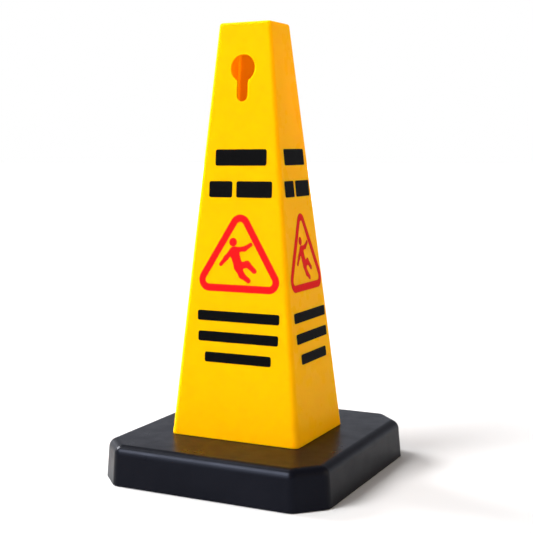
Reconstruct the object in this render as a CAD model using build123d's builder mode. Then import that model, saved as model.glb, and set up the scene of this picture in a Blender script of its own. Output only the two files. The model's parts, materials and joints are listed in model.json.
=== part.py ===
from build123d import *
import os
from math import sqrt

# Four-sided wet floor cone standing in a weighted base.
# Origin: on the floor, under the cone's centre line. +Z is up and the front face looks along -Y.
# All sizes are in millimetres.

# Overall sizes
total_height = 680.0
base_width = 370.0
deck_height = 60.0

# Cone: the outer shape is a straight taper between the foot section and the top section
foot_width = 215.0
foot_depth = 168.0
top_width = 85.5
top_depth = 68.5
foot_corner_radius = 10.0
top_corner_radius = 6.0
top_edge_radius = 4.5
foot_edge_radius = 1.0
cone_wall = 3.0
foot_band_wall = 5.0
foot_band_height = 16.0

# Spigot: the cone's straight-sided lower end, which drops into the base's socket
shoulder = 2.5
spigot_length = 24.0
socket_clearance = 0.4

# Keyholes through the cone's front and back faces
keyhole_diameter = 40.0
keyhole_centre_height = 612.0
keyhole_slot_width = 18.0
keyhole_bottom = 563.0
keyhole_neck_radius = 2.0
keyhole_edge_radius = 0.8

# Base shell
skirt_gap = 1.5
base_corner_cut = 40.0
base_corner_rounding = 16.0
base_draft = 4.5
deck_edge_radius = 14.0
base_wall = 4.0
collar_wall = 4.0
rib_thickness = 3.0

# Bottom cover
cover_thickness = 4.0
cover_clearance = 0.5

# Ballast bars, one in each of the base's four bays
ballast_thickness = 12.0
ballast_gap = 3.5
ballast_skirt_gap = 26.0
ballast_corner_radius = 6.0
ballast_edge_radius = 1.5
ballast_top_clearance = 0.5

# Screws that hold the cover to the shell's bosses
screw_inset = 18.0
boss_radius = 4.5
screw_length = 14.0
screw_radius = 1.75
screw_tip_length = 2.0
pilot_clearance = 0.05
pilot_extra_depth = 2.0
screw_hole_clearance = 0.25
head_radius = 3.6
head_height = 2.0
head_edge_radius = 0.6
head_clearance = 0.4
driver_slot_length = 4.4
driver_slot_width = 1.0
driver_slot_depth = 1.0

# Rubber feet, one near each corner
pad_radius = 16.0
pad_recess = 1.5
pad_clearance = 0.3
pad_edge_radius = 0.8
stem_radius = 4.0
stem_clearance = 0.1
barb_radius = 5.5
barb_height = 3.0

# Derived sizes and places
base_half = base_width / 2
cover_top = skirt_gap + cover_thickness
deck_underside = deck_height - base_wall
spigot_bottom = deck_height - spigot_length
spigot_size = (foot_width - 2 * shoulder, foot_depth - 2 * shoulder)
spigot_corner_radius = foot_corner_radius - shoulder
socket_size = [size + 2 * socket_clearance for size in spigot_size]
socket_corner_radius = spigot_corner_radius + socket_clearance
collar_size = [size + 2 * collar_wall for size in socket_size]
collar_corner_radius = socket_corner_radius + collar_wall
collar_half_x, collar_half_y = [size / 2 for size in collar_size]
pad_top = skirt_gap + pad_recess
corners = {"front_left": (-1, -1), "front_right": (1, -1), "back_left": (-1, 1), "back_right": (1, 1)}


def cone_section(height, inset):
    """Width, depth and corner radius of the cone's outer shape at a height, less an inset all round."""
    share = (height - deck_height) / (total_height - deck_height)
    width = foot_width + (top_width - foot_width) * share
    depth = foot_depth + (top_depth - foot_depth) * share
    radius = foot_corner_radius + (top_corner_radius - foot_corner_radius) * share
    return width - 2 * inset, depth - 2 * inset, radius - inset


def cone_taper(bottom, top, inset):
    """The cone's outer shape between two heights, less an inset all round."""
    with BuildPart() as taper:
        for height in (bottom, top):
            with BuildSketch(Plane.XY.offset(height)):
                RectangleRounded(*cone_section(height, inset))
        loft(ruled=True)
    return taper.part


def base_octagon(height, inset):
    """Corner points of the base's drafted outline at a height, less an inset all round."""
    shrink = base_draft * (height - skirt_gap) / (deck_height - skirt_gap) + inset
    half = base_half - shrink
    flat_half = half - base_corner_cut + (2 - sqrt(2)) * shrink
    right_half = [(flat_half, -half), (half, -flat_half), (half, flat_half), (flat_half, half)]
    return right_half + [(-x, -y) for x, y in right_half]


def base_block(bottom, top, inset):
    """The base's drafted outline between two heights, less an inset all round."""
    with BuildPart() as block:
        for height in (bottom, top):
            with BuildSketch(Plane.XY.offset(height)) as outline:
                Polygon(*base_octagon(height, inset), align=None)
                fillet(outline.vertices(), base_corner_rounding - inset)
        loft(ruled=True)
    return block.part


def mirrored(x, y):
    """The same place in all four corners."""
    return [(x * side_x, y * side_y) for side_x, side_y in corners.values()]


# The bay walls run in line with the collar's sides, and the screws stand in them near the skirt
wall_x = collar_half_x - rib_thickness / 2
wall_y = collar_half_y - rib_thickness / 2
screw_reach = base_half - screw_inset
screw_places = mirrored(wall_x, screw_reach) + mirrored(screw_reach, wall_y)
# Each foot stands in the middle of the pocket between the bay walls and the skirt
foot_x = (collar_half_x + base_half) / 2
foot_y = (collar_half_y + base_half) / 2
foot_places = mirrored(foot_x, foot_y)

# Cone shell: a hollow taper, closed at the top and open at the foot
cone_outside = cone_taper(deck_height, total_height, 0)
cone_inside = cone_taper(deck_height + foot_band_height, total_height - cone_wall, cone_wall)
with BuildPart() as cone_shell:
    add(cone_outside)
    fillet(cone_shell.faces().sort_by(Axis.Z)[-1].edges(), top_edge_radius)
    fillet(cone_shell.faces().sort_by(Axis.Z)[0].edges(), foot_edge_radius)
    with BuildSketch(Plane.XY.offset(spigot_bottom)):
        RectangleRounded(*spigot_size, spigot_corner_radius)
    extrude(amount=spigot_length)
    # A keyhole from front to back: a round hole over a slot with a round end
    with BuildSketch(Plane.XZ) as keyhole:
        with Locations((0, keyhole_centre_height)):
            Circle(keyhole_diameter / 2)
        slot_radius = keyhole_slot_width / 2
        slot_length = keyhole_centre_height - keyhole_bottom - slot_radius
        with Locations((0, keyhole_centre_height - slot_length / 2)):
            Rectangle(keyhole_slot_width, slot_length)
        with Locations((0, keyhole_bottom + slot_radius)):
            Circle(slot_radius)
        fillet(keyhole.vertices().group_by(Axis.Y)[1], keyhole_neck_radius)
    extrude(amount=foot_depth / 2, both=True, mode=Mode.SUBTRACT)
    keyhole_top = keyhole_centre_height + keyhole_diameter / 2
    rims = cone_shell.edges().filter_by_position(
        Axis.Z, keyhole_bottom - keyhole_edge_radius, keyhole_top + keyhole_edge_radius
    )
    front_rim = rims.filter_by_position(Axis.Y, -foot_depth / 2, -top_depth / 2)
    back_rim = rims.filter_by_position(Axis.Y, top_depth / 2, foot_depth / 2)
    fillet(front_rim + back_rim, keyhole_edge_radius)
    # The wide hollow above the thicker foot band, then the opening through the band and the spigot
    add(cone_inside, mode=Mode.SUBTRACT)
    with BuildSketch(Plane.XY.offset(spigot_bottom)):
        RectangleRounded(*cone_section(deck_height, foot_band_wall))
    extrude(amount=spigot_length + foot_band_height, mode=Mode.SUBTRACT)
cone_shell.part.label = "cone_shell"

# Base shell: deck, drafted skirt, the socket's collar, ribs and screw bosses
base_outside = base_block(skirt_gap, deck_height, 0)
base_inside = base_block(skirt_gap, deck_underside, base_wall)
with BuildPart() as shell_hollow:
    add(base_inside)
    fillet(shell_hollow.faces().sort_by(Axis.Z)[-1].edges(), deck_edge_radius - base_wall)
    # What stands inside the hollow: the collar, bay walls in line with it, and the bosses
    with BuildSketch(Plane.XY.offset(cover_top)):
        RectangleRounded(*collar_size, collar_corner_radius)
        for side in (-1, 1):
            with Locations((0, side * wall_y)):
                Rectangle(base_width, rib_thickness)
            with Locations((side * wall_x, 0)):
                Rectangle(rib_thickness, base_width)
        with Locations(*screw_places):
            Circle(boss_radius)
    extrude(amount=deck_underside - cover_top, mode=Mode.SUBTRACT)
    # Ribs under the deck that keep the ballast down
    rib_bottom = cover_top + ballast_thickness + ballast_top_clearance
    with BuildSketch(Plane.XY.offset(rib_bottom)):
        for side in (-1, 1):
            with Locations((0, side * collar_half_y / 2)):
                Rectangle(base_width, rib_thickness)
            with Locations((side * collar_half_x / 2, 0)):
                Rectangle(rib_thickness, base_width)
    extrude(amount=deck_underside - rib_bottom, mode=Mode.SUBTRACT)

with BuildPart() as base_shell:
    add(base_outside)
    fillet(base_shell.faces().sort_by(Axis.Z)[-1].edges(), deck_edge_radius)
    add(shell_hollow.part, mode=Mode.SUBTRACT)
    with BuildSketch(Plane.XY.offset(skirt_gap)):
        RectangleRounded(*socket_size, socket_corner_radius)
    extrude(amount=deck_height - skirt_gap, mode=Mode.SUBTRACT)
    with BuildSketch(Plane.XY.offset(cover_top)):
        with Locations(*screw_places):
            Circle(screw_radius + pilot_clearance)
    extrude(amount=screw_length + pilot_extra_depth - cover_thickness, mode=Mode.SUBTRACT)
base_shell.part.label = "base_shell"

# Bottom cover: a plate inside the skirt, with room for the screw heads and the rubber feet
cover_plate = base_block(skirt_gap, cover_top, base_wall + cover_clearance)
with BuildPart() as bottom_cover:
    add(cover_plate)
    with BuildSketch(Plane.XY.offset(skirt_gap)):
        RectangleRounded(*socket_size, socket_corner_radius)
        with Locations(*screw_places):
            Circle(screw_radius + screw_hole_clearance)
        with Locations(*foot_places):
            Circle(stem_radius + stem_clearance)
    extrude(amount=cover_thickness, mode=Mode.SUBTRACT)
    with BuildSketch(Plane.XY.offset(skirt_gap)):
        with Locations(*screw_places):
            Circle(head_radius + head_clearance)
    extrude(amount=head_height, mode=Mode.SUBTRACT)
    with BuildSketch(Plane.XY.offset(skirt_gap)):
        with Locations(*foot_places):
            Circle(pad_radius + pad_clearance)
    extrude(amount=pad_recess, mode=Mode.SUBTRACT)
bottom_cover.part.label = "bottom_cover"

# Cover screws: pan heads with a crossed driver recess, driven upwards into the bosses
with BuildPart() as cover_screw:
    with BuildSketch(Plane.XY.offset(skirt_gap)):
        Circle(head_radius)
    extrude(amount=head_height)
    fillet(cover_screw.faces().sort_by(Axis.Z)[0].edges(), head_edge_radius)
    with BuildSketch(Plane.XY.offset(skirt_gap + head_height)):
        Circle(screw_radius)
    extrude(amount=screw_length - head_height)
    chamfer(cover_screw.faces().sort_by(Axis.Z)[-1].edges(), screw_tip_length, screw_radius / 2)
    with BuildSketch(Plane.XY.offset(skirt_gap)):
        Rectangle(driver_slot_length, driver_slot_width)
        Rectangle(driver_slot_width, driver_slot_length)
    extrude(amount=driver_slot_depth, mode=Mode.SUBTRACT)
with BuildPart() as cover_screws:
    with Locations(*screw_places):
        add(cover_screw.part)
cover_screws.part.label = "cover_screws"

os.makedirs("parts", exist_ok=True)
for piece in (cone_shell, base_shell, bottom_cover, cover_screws):
    export_step(piece.part, f"parts/{piece.part.label}.step")

# Ballast bars: one lies in each bay between the collar and the skirt
ballast_outer_edge = base_half - ballast_skirt_gap
long_bar = (2 * (collar_half_x - rib_thickness - ballast_gap), ballast_outer_edge - collar_half_y - ballast_gap)
short_bar = (ballast_outer_edge - collar_half_x - ballast_gap, 2 * (collar_half_y - rib_thickness - ballast_gap))
bar_places = {
    "front": (long_bar, (0, -(ballast_outer_edge - long_bar[1] / 2))),
    "back": (long_bar, (0, ballast_outer_edge - long_bar[1] / 2)),
    "left": (short_bar, (-(ballast_outer_edge - short_bar[0] / 2), 0)),
    "right": (short_bar, (ballast_outer_edge - short_bar[0] / 2, 0)),
}
for name, (bar_size, place) in bar_places.items():
    with BuildPart() as ballast:
        with BuildSketch(Plane.XY.offset(cover_top)):
            with Locations(place):
                RectangleRounded(*bar_size, ballast_corner_radius)
        extrude(amount=ballast_thickness)
        fillet(ballast.faces().sort_by(Axis.Z)[-1].edges(), ballast_edge_radius)
    ballast.part.label = f"ballast_{name}"
    export_step(ballast.part, f"parts/{ballast.part.label}.step")

# Rubber feet: a pad in the cover's recess, a stem through the cover and a barb above it
for name, (side_x, side_y) in corners.items():
    foot_place = (side_x * foot_x, side_y * foot_y)
    with BuildPart() as foot:
        with BuildSketch():
            with Locations(foot_place):
                Circle(pad_radius)
        extrude(amount=pad_top)
        fillet(foot.faces().sort_by(Axis.Z)[0].edges(), pad_edge_radius)
        with BuildSketch(Plane.XY.offset(pad_top)):
            with Locations(foot_place):
                Circle(stem_radius)
        extrude(amount=cover_top - pad_top)
        for height, radius in ((cover_top, barb_radius), (cover_top + barb_height, stem_radius)):
            with BuildSketch(Plane.XY.offset(height)):
                with Locations(foot_place):
                    Circle(radius)
        loft()
    foot.part.label = f"foot_{name}"
    export_step(foot.part, f"parts/{foot.part.label}.step")
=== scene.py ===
import json
import math

import bmesh
import bpy
from mathutils import Matrix, Vector
from mathutils.geometry import tessellate_polygon


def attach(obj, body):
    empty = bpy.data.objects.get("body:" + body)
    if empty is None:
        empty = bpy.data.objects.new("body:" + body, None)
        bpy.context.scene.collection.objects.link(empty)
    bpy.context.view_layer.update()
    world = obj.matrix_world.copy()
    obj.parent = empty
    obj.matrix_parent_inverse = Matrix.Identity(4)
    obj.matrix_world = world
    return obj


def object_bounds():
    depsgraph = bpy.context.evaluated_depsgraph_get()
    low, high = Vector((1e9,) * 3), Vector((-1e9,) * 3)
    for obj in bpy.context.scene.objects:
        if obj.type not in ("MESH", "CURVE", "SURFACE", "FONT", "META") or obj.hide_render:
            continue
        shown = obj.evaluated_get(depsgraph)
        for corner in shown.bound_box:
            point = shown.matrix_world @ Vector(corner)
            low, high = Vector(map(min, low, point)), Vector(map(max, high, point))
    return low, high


# Four-sided wet floor cone standing in a black weighted base. All sizes are in metres.

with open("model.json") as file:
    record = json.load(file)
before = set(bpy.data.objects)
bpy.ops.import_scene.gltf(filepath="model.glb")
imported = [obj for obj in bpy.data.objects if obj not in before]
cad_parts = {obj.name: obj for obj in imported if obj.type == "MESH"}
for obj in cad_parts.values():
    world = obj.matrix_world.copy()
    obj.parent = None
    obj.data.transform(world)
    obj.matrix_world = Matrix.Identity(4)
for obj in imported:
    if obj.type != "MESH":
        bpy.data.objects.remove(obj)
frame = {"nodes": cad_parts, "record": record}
cad_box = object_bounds()
nodes = frame["nodes"]
cone = nodes["cone_shell"]

# ---------------------------------------------------------------- prints: sizes and places

# Each print is a thin film, partly sunk in its face: how far it stands out, and its whole thickness
FILM_LIFT = 0.00015
FILM_DEPTH = 0.00035
# Width of the side faces' prints against the front's
SIDE_SHARE = 0.80
# A height at which every face is plain, where its plane is found
PROBE_HEIGHT = 0.15

# Plain bars, one for each printed word: left end, right end, middle height, height
BARS = [
    (-0.0415, 0.0435, 0.4810, 0.0240),
    (-0.0510, -0.0120, 0.4340, 0.0240),
    (-0.0050, 0.0540, 0.4340, 0.0240),
    (-0.0650, 0.0720, 0.2450, 0.0150),
    (-0.0630, 0.0710, 0.2140, 0.0150),
    (-0.0510, 0.0600, 0.1830, 0.0150),
]
BAR_RADIUS = 0.0030
BAR_CORNER_STEPS = 8

# Warning triangle: the centres of its corner arcs, the arcs' outer and inner radius
TRIANGLE_CENTRES = [(0.0530, 0.2990), (0.0030, 0.3800), (-0.0470, 0.2990)]
TRIANGLE_OUTER = 0.0170
TRIANGLE_INNER = 0.0062
TRIANGLE_CORNER_STEPS = 16

# Slipping figure inside the triangle, about its own middle: head, then limbs as end, end, radius, radius
FIGURE_MIDDLE = (0.0025, 0.3260)
FIGURE_HEAD = ((-0.0105, 0.0300), 0.0064)
FIGURE_LIMBS = [
    ((-0.0080, 0.0152), (-0.0006, -0.0056), 0.0078, 0.0068),
    ((-0.0112, 0.0185), (-0.0213, 0.0067), 0.0036, 0.0033),
    ((-0.0213, 0.0067), (-0.0302, -0.0034), 0.0033, 0.0030),
    ((-0.0045, 0.0190), (0.0090, 0.0207), 0.0036, 0.0033),
    ((0.0090, 0.0207), (0.0190, 0.0270), 0.0033, 0.0030),
    ((-0.0006, -0.0056), (0.0140, -0.0017), 0.0054, 0.0045),
    ((0.0140, -0.0017), (0.0263, -0.0118), 0.0045, 0.0037),
    ((-0.0011, -0.0073), (0.0056, -0.0185), 0.0057, 0.0046),
    ((0.0056, -0.0185), (0.0168, -0.0262), 0.0046, 0.0037),
]
FIGURE_BLEND = 0.0024
# The grid that the figure's outline is found on: its lowest and highest corners, and its step
FIGURE_LOW = (-0.036, -0.034)
FIGURE_HIGH = (0.034, 0.034)
FIGURE_STEP = 0.0006
# Far from every limb the blend's sum fades to nothing, and this keeps its logarithm finite
TINY = 1e-300


# ---------------------------------------------------------------- materials


def new_material(name):
    """A new material with its node tree, its Principled shader and object-space coordinates."""
    material = bpy.data.materials.new(name)
    material.use_nodes = True
    tree = material.node_tree
    shader = tree.nodes["Principled BSDF"]
    coordinates = tree.nodes.new("ShaderNodeTexCoord").outputs["Object"]
    return material, tree, shader, coordinates


def noise(tree, coordinates, scale, detail=4.0, stretch=(1, 1, 1)):
    """A noise texture's factor, in object space."""
    if stretch != (1, 1, 1):
        mapping = tree.nodes.new("ShaderNodeMapping")
        mapping.inputs["Scale"].default_value = stretch
        tree.links.new(coordinates, mapping.inputs["Vector"])
        coordinates = mapping.outputs["Vector"]
    texture = tree.nodes.new("ShaderNodeTexNoise")
    texture.inputs["Scale"].default_value = scale
    texture.inputs["Detail"].default_value = detail
    tree.links.new(coordinates, texture.inputs["Vector"])
    return texture.outputs["Fac"]


def spread(tree, factor, low, high, start=0.3, end=0.7):
    """The factor's middle range mapped between two numbers."""
    node = tree.nodes.new("ShaderNodeMapRange")
    node.inputs["From Min"].default_value = start
    node.inputs["From Max"].default_value = end
    node.inputs["To Min"].default_value = low
    node.inputs["To Max"].default_value = high
    tree.links.new(factor, node.inputs["Value"])
    return node.outputs["Result"]


def ramp(tree, factor, first, second, start=0.3, end=0.7):
    """A blend between two colours over the factor's middle range."""
    node = tree.nodes.new("ShaderNodeValToRGB")
    node.color_ramp.elements[0].position = start
    node.color_ramp.elements[1].position = end
    node.color_ramp.elements[0].color = (*first, 1)
    node.color_ramp.elements[1].color = (*second, 1)
    tree.links.new(factor, node.inputs["Fac"])
    return node.outputs["Color"]


def bump(tree, height, strength, distance, below=None):
    """A bump, stacked on another where one is given."""
    node = tree.nodes.new("ShaderNodeBump")
    node.inputs["Strength"].default_value = strength
    node.inputs["Distance"].default_value = distance
    tree.links.new(height, node.inputs["Height"])
    if below is not None:
        tree.links.new(below, node.inputs["Normal"])
    return node.outputs["Normal"]


def yellow_plastic():
    """Translucent moulded plastic: faint flow mottling, an orange-peel skin and an uneven gloss."""
    material, tree, shader, at = new_material("yellow_shell")
    mottling = noise(tree, at, 7, 2, (1, 1, 0.4))
    colour = ramp(tree, mottling, (0.93, 0.292, 0.0006), (0.95, 0.306, 0.0010), 0.2, 0.8)
    tree.links.new(colour, shader.inputs["Base Color"])
    gloss = spread(tree, noise(tree, at, 28, 5), 0.24, 0.34)
    tree.links.new(gloss, shader.inputs["Roughness"])
    waves = bump(tree, noise(tree, at, 18, 2), 0.05, 0.0006)
    skin = bump(tree, noise(tree, at, 420, 2), 0.10, 0.0003, waves)
    tree.links.new(skin, shader.inputs["Normal"])
    shader.inputs["Specular IOR Level"].default_value = 0.012
    shader.inputs["Specular Tint"].default_value = (1.0, 0.72, 0.06, 1)
    shader.inputs["Subsurface Weight"].default_value = 1.0
    shader.inputs["Subsurface Radius"].default_value = (1.0, 0.58, 0.03)
    shader.inputs["Subsurface Scale"].default_value = 0.018
    return material


def black_plastic():
    """Semi-gloss black moulded plastic with a fine grain and a bluish sheen."""
    material, tree, shader, at = new_material("black_shell")
    colour = ramp(tree, noise(tree, at, 14, 4), (0.0014, 0.0014, 0.0024), (0.0026, 0.0026, 0.0040))
    tree.links.new(colour, shader.inputs["Base Color"])
    gloss = spread(tree, noise(tree, at, 35, 5), 0.27, 0.36)
    tree.links.new(gloss, shader.inputs["Roughness"])
    waves = bump(tree, noise(tree, at, 16, 2), 0.20, 0.0008)
    grain = bump(tree, noise(tree, at, 900, 3), 0.30, 0.0002, waves)
    tree.links.new(grain, shader.inputs["Normal"])
    shader.inputs["Specular IOR Level"].default_value = 0.085
    shader.inputs["Specular Tint"].default_value = (0.66, 0.74, 1.0, 1)
    return material


def matte_cover():
    """Matte black moulded plastic with a coarser spark-eroded texture."""
    material, tree, shader, at = new_material("black_cover")
    colour = ramp(tree, noise(tree, at, 20, 4), (0.012, 0.012, 0.013), (0.020, 0.020, 0.021))
    tree.links.new(colour, shader.inputs["Base Color"])
    gloss = spread(tree, noise(tree, at, 60, 4), 0.55, 0.72)
    tree.links.new(gloss, shader.inputs["Roughness"])
    grain = bump(tree, noise(tree, at, 600, 3), 0.45, 0.0004)
    tree.links.new(grain, shader.inputs["Normal"])
    return material


def plated_steel():
    """Zinc-plated steel, slightly cloudy."""
    material, tree, shader, at = new_material("screw_steel")
    colour = ramp(tree, noise(tree, at, 300, 3), (0.46, 0.47, 0.49), (0.66, 0.66, 0.64))
    tree.links.new(colour, shader.inputs["Base Color"])
    gloss = spread(tree, noise(tree, at, 500, 4), 0.25, 0.45)
    tree.links.new(gloss, shader.inputs["Roughness"])
    shader.inputs["Metallic"].default_value = 1.0
    return material


def cast_iron():
    """Dull cast iron with a sandy skin and traces of rust."""
    material, tree, shader, at = new_material("ballast_iron")
    colour = ramp(tree, noise(tree, at, 45, 6), (0.055, 0.052, 0.050), (0.120, 0.075, 0.050), 0.45, 0.75)
    tree.links.new(colour, shader.inputs["Base Color"])
    gloss = spread(tree, noise(tree, at, 90, 5), 0.60, 0.80)
    tree.links.new(gloss, shader.inputs["Roughness"])
    sand = bump(tree, noise(tree, at, 700, 4), 0.60, 0.0005)
    tree.links.new(sand, shader.inputs["Normal"])
    shader.inputs["Metallic"].default_value = 0.6
    return material


def foot_rubber():
    """Soft dark rubber with a dusty bloom."""
    material, tree, shader, at = new_material("foot_rubber")
    colour = ramp(tree, noise(tree, at, 120, 5), (0.016, 0.016, 0.016), (0.034, 0.034, 0.033))
    tree.links.new(colour, shader.inputs["Base Color"])
    gloss = spread(tree, noise(tree, at, 200, 4), 0.70, 0.88)
    tree.links.new(gloss, shader.inputs["Roughness"])
    grain = bump(tree, noise(tree, at, 1100, 2), 0.35, 0.0002)
    tree.links.new(grain, shader.inputs["Normal"])
    return material


def ink(name, first, second, roughness):
    """Screen-printed ink: nearly even colour with a slight mottle in its film."""
    material, tree, shader, at = new_material(name)
    colour = ramp(tree, noise(tree, at, 260, 4), first, second)
    tree.links.new(colour, shader.inputs["Base Color"])
    gloss = spread(tree, noise(tree, at, 150, 3), roughness - 0.04, roughness + 0.06)
    tree.links.new(gloss, shader.inputs["Roughness"])
    skin = bump(tree, noise(tree, at, 500, 2), 0.12, 0.0002)
    tree.links.new(skin, shader.inputs["Normal"])
    shader.inputs["Specular IOR Level"].default_value = 0.01
    return material


finishes = {
    "yellow_shell": yellow_plastic(),
    "black_shell": black_plastic(),
    "black_cover": matte_cover(),
    "screw_steel": plated_steel(),
    "ballast_iron": cast_iron(),
    "foot_rubber": foot_rubber(),
}
for subpart in frame["record"]["subparts"]:
    node = nodes[subpart["node"]]
    node.data.materials.clear()
    node.data.materials.append(finishes[subpart["material_slot"]])
black_ink = ink("black_ink", (0.0010, 0.0010, 0.0012), (0.0020, 0.0020, 0.0023), 0.42)
red_ink = ink("red_ink", (0.46, 0.0035, 0.0045), (0.52, 0.0050, 0.0060), 0.40)


# ---------------------------------------------------------------- outlines of the prints


def arc(centre, radius, start, end, count):
    """Points along an arc, between two angles in degrees."""
    angles = [math.radians(start + (end - start) * i / count) for i in range(count + 1)]
    return [(centre[0] + radius * math.cos(a), centre[1] + radius * math.sin(a)) for a in angles]


def rounded_bar(left, right, middle, height):
    """Anticlockwise outline of a bar with rounded corners."""
    west, east = left + BAR_RADIUS, right - BAR_RADIUS
    low, high = middle - height / 2 + BAR_RADIUS, middle + height / 2 - BAR_RADIUS
    corners = [(east, low, -90), (east, high, 0), (west, high, 90), (west, low, 180)]
    return [p for x, z, turn in corners for p in arc((x, z), BAR_RADIUS, turn, turn + 90, BAR_CORNER_STEPS)]


def rounded_triangle(radius):
    """Anticlockwise outline of the triangle, at a distance outside the centres of its corner arcs."""
    right, top, left = TRIANGLE_CENTRES
    lean = math.degrees(math.atan2(right[0] - top[0], top[1] - right[1]))
    outline = arc(right, radius, -90, lean, TRIANGLE_CORNER_STEPS)
    outline += arc(top, radius, lean, 180 - lean, TRIANGLE_CORNER_STEPS)
    return outline + arc(left, radius, 180 - lean, 270, TRIANGLE_CORNER_STEPS)


def limb_distance(x, z, limb):
    """Signed distance to a limb: a run between two ends whose radius changes evenly."""
    (ax, az), (bx, bz), start_radius, end_radius = limb
    run = Vector((bx - ax, bz - az))
    share = max(0.0, min(1.0, Vector((x - ax, z - az)).dot(run) / run.length_squared))
    gap = math.hypot(x - ax - share * run.x, z - az - share * run.y)
    return gap - start_radius - (end_radius - start_radius) * share


def figure_distance(x, z):
    """Signed distance to the figure's body, with its limbs blended softly into each other."""
    total = sum(math.exp(-limb_distance(x, z, limb) / FIGURE_BLEND * 2) for limb in FIGURE_LIMBS)
    return -math.log(max(total, TINY)) * FIGURE_BLEND / 2


def outlines_of(distance, low, high, step):
    """Closed outlines where a signed distance is zero, by marching over a grid of squares."""
    columns = round((high[0] - low[0]) / step)
    rows = round((high[1] - low[1]) / step)
    value = {}
    for i in range(columns + 1):
        for j in range(rows + 1):
            value[i, j] = distance(low[0] + i * step, low[1] + j * step)
    following, place = {}, {}
    for i in range(columns):
        for j in range(rows):
            ring = [(i, j), (i + 1, j), (i + 1, j + 1), (i, j + 1)]
            leaving, entering = [], []
            for a, b in zip(ring, ring[1:] + ring[:1]):
                if (value[a] < 0) == (value[b] < 0):
                    continue
                edge = (min(a, b), max(a, b))
                share = value[edge[0]] / (value[edge[0]] - value[edge[1]])
                x = edge[0][0] + share * (edge[1][0] - edge[0][0])
                z = edge[0][1] + share * (edge[1][1] - edge[0][1])
                place[edge] = (low[0] + x * step, low[1] + z * step)
                (leaving if value[a] < 0 else entering).append(edge)
            for start, end in zip(leaving, entering):
                following[start] = end
    loops = []
    while following:
        first, edge = next(iter(following.items()))
        loop = [place[first]]
        del following[first]
        while edge != first:
            loop.append(place[edge])
            edge = following.pop(edge)
        loops.append(loop)
    return loops


# ---------------------------------------------------------------- prints as thin films on the faces


class Face:
    """One face of the cone: where a place across and up it is, in space."""

    def __init__(self, outward, share):
        self.outward = Vector(outward)
        self.across = Vector((0, 0, 1)).cross(self.outward)
        self.share = share
        start = self.outward + Vector((0, 0, PROBE_HEIGHT))
        hit, self.point, self.normal, _ = cone.ray_cast(start, -self.outward)
        assert hit

    def place(self, u, z, lift):
        """The point at u across the face and at height z, lifted out of the face."""
        flat = self.across * (u * self.share) + Vector((0, 0, z))
        reach = (self.point - flat).dot(self.normal) / self.outward.dot(self.normal)
        return flat + self.outward * reach + self.normal * lift


def film(name, face, loops, ring=False):
    """A thin film with the given outlines, or the ring between two outlines with as many points each."""
    mesh = bmesh.new()
    layers = []
    for lift in (FILM_LIFT - FILM_DEPTH, FILM_LIFT):
        layers.append([[mesh.verts.new(face.place(u, z, lift)) for u, z in loop] for loop in loops])
    for low_loop, high_loop in zip(*layers):
        count = len(low_loop)
        for i in range(count):
            j = (i + 1) % count
            mesh.faces.new((low_loop[i], low_loop[j], high_loop[j], high_loop[i]))
    for layer in layers:
        if ring:
            outer, inner = layer
            for i in range(len(outer)):
                j = (i + 1) % len(outer)
                mesh.faces.new((outer[i], outer[j], inner[j], inner[i]))
        else:
            for loop in layer:
                for corners in tessellate_polygon([[vert.co for vert in loop]]):
                    mesh.faces.new([loop[i] for i in corners])
    bmesh.ops.recalc_face_normals(mesh, faces=mesh.faces)
    data = bpy.data.meshes.new(name)
    mesh.to_mesh(data)
    mesh.free()
    piece = bpy.data.objects.new(name, data)
    bpy.context.scene.collection.objects.link(piece)
    return piece


def head_outline():
    """The figure's head: a circle of 24 points."""
    centre, radius = FIGURE_HEAD
    return arc(centre, radius, 0, 345, 23)


def figure_loops():
    """Outlines of the whole figure, in its place on a face."""
    middle_x, middle_z = FIGURE_MIDDLE
    body = outlines_of(figure_distance, FIGURE_LOW, FIGURE_HIGH, FIGURE_STEP)
    loops = body + [head_outline()]
    return [[(middle_x + x, middle_z + z) for x, z in loop] for loop in loops]


figure = figure_loops()
triangle = [rounded_triangle(TRIANGLE_OUTER), rounded_triangle(TRIANGLE_INNER)]
faces = {
    "front": Face((0, -1, 0), 1.0),
    "right": Face((1, 0, 0), SIDE_SHARE),
    "back": Face((0, 1, 0), 1.0),
    "left": Face((-1, 0, 0), SIDE_SHARE),
}
for side, face in faces.items():
    bars = film(f"print_bars_{side}", face, [rounded_bar(*bar) for bar in BARS])
    bars.data.materials.append(black_ink)
    border = film(f"print_triangle_{side}", face, triangle, ring=True)
    border.data.materials.append(red_ink)
    walker = film(f"print_figure_{side}", face, figure)
    walker.data.materials.append(red_ink)
    for piece in (bars, border, walker):
        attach(piece, "cone")


# ---------------------------------------------------------------- floor, light and camera


def studio_floor():
    """A wide pale floor, glowing far away so that it meets the backdrop without a line."""
    bpy.ops.mesh.primitive_plane_add(size=60, location=(0, 0, cad_box[0].z))
    floor = bpy.context.object
    floor.name = "floor"
    material, tree, shader, at = new_material("studio_floor")
    colour = ramp(tree, noise(tree, at, 3, 3), (0.52, 0.52, 0.52), (0.53, 0.53, 0.53))
    tree.links.new(colour, shader.inputs["Base Color"])
    shader.inputs["Roughness"].default_value = 0.9
    shader.inputs["Specular IOR Level"].default_value = 0.0
    distance = tree.nodes.new("ShaderNodeVectorMath")
    distance.operation = "LENGTH"
    tree.links.new(at, distance.inputs[0])
    glow = spread(tree, distance.outputs["Value"], 0.0, 1.0, 4.0, 12.0)
    tree.links.new(glow, shader.inputs["Emission Strength"])
    shader.inputs["Emission Color"].default_value = (1, 1, 1, 1)
    floor.data.materials.append(material)


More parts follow.
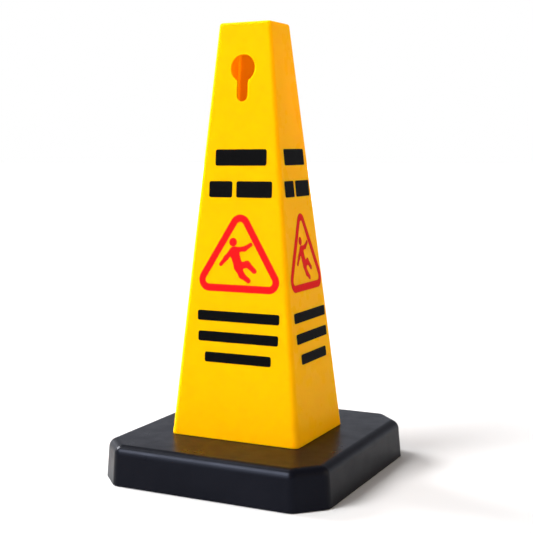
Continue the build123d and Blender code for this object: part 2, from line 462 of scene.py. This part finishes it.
def sun(name, heading, height, spread_angle, strength, colour=(1, 1, 1)):
    """A wide soft light from a heading and a height in degrees. Heading 0 is in front, 90 to the right."""
    data = bpy.data.lights.new(name, "SUN")
    data.angle = math.radians(spread_angle)
    data.energy = strength
    data.color = colour
    turn, lift = math.radians(heading), math.radians(height)
    source = Vector((math.sin(turn) * math.cos(lift), -math.cos(turn) * math.cos(lift), math.sin(lift)))
    light = bpy.data.objects.new(name, data)
    light.rotation_euler = source.to_track_quat("Z", "Y").to_euler()
    bpy.context.scene.collection.objects.link(light)


def area_light(name, place, target, size, watts):
    """A soft panel of light aimed at a point."""
    data = bpy.data.lights.new(name, "AREA")
    data.shape = "RECTANGLE"
    data.size, data.size_y = size
    data.energy = watts
    light = bpy.data.objects.new(name, data)
    light.location = place
    light.rotation_euler = (Vector(target) - Vector(place)).to_track_quat("-Z", "Y").to_euler()
    bpy.context.scene.collection.objects.link(light)


def white_surroundings():
    """A white backdrop to the eye, and for light and reflections a dimmer studio, brighter near the floor."""
    world = bpy.data.worlds.new("studio")
    world.use_nodes = True
    tree = world.node_tree
    output = tree.nodes["World Output"]
    seen = tree.nodes["Background"]
    seen.inputs["Color"].default_value = (1, 1, 1, 1)
    seen.inputs["Strength"].default_value = 1.0
    lit = tree.nodes.new("ShaderNodeBackground")
    lit.inputs["Color"].default_value = (0.86, 0.89, 1.0, 1)
    direction = tree.nodes.new("ShaderNodeTexCoord").outputs["Generated"]
    height = tree.nodes.new("ShaderNodeSeparateXYZ")
    tree.links.new(direction, height.inputs["Vector"])
    tree.links.new(spread(tree, height.outputs["Z"], 1.25, 0.35, 0.10, 0.32), lit.inputs["Strength"])
    path = tree.nodes.new("ShaderNodeLightPath")
    mix = tree.nodes.new("ShaderNodeMixShader")
    tree.links.new(path.outputs["Is Camera Ray"], mix.inputs["Fac"])
    tree.links.new(lit.outputs["Background"], mix.inputs[1])
    tree.links.new(seen.outputs["Background"], mix.inputs[2])
    tree.links.new(mix.outputs["Shader"], output.inputs["Surface"])
    bpy.context.scene.world = world


def camera():
    """The camera, turned by its heading, its tilt and a slight roll."""
    heading, tilt, roll = 0.4667, -0.1085, -0.0068
    place = Vector((0.7561, -1.4672, 0.4936))
    ahead = Vector((-math.sin(heading), math.cos(heading), 0))
    forward = ahead * math.cos(tilt) + Vector((0, 0, math.sin(tilt)))
    level = Vector((math.cos(heading), math.sin(heading), 0))
    upward = level.cross(forward)
    right = math.cos(roll) * level + math.sin(roll) * upward
    up = -math.sin(roll) * level + math.cos(roll) * upward
    data = bpy.data.cameras.new("camera")
    data.sensor_width = 36
    data.lens = 73.02
    data.clip_start, data.clip_end = 0.05, 100
    view = bpy.data.objects.new("camera", data)
    turn = Matrix((right, up, -forward)).transposed()
    view.matrix_world = Matrix.Translation(place) @ turn.to_4x4()
    bpy.context.scene.collection.objects.link(view)
    bpy.context.scene.camera = view


studio_floor()
sun("key", -40, 42, 28, 4.6)
sun("side", -100, 32, 24, 4.2)
sun("warm_fill", 100, 16, 60, 1.7, (1.0, 0.78, 0.5))
area_light("low_key", (-0.6, -1.8, 0.8), (0, 0, 0.4), (1.0, 1.0), 26)
area_light("strip", (-0.5, 0.25, 1.5), (0, 0, 0.06), (1.4, 0.35), 7)
white_surroundings()
camera()
bpy.context.scene.view_settings.view_transform = "Standard"
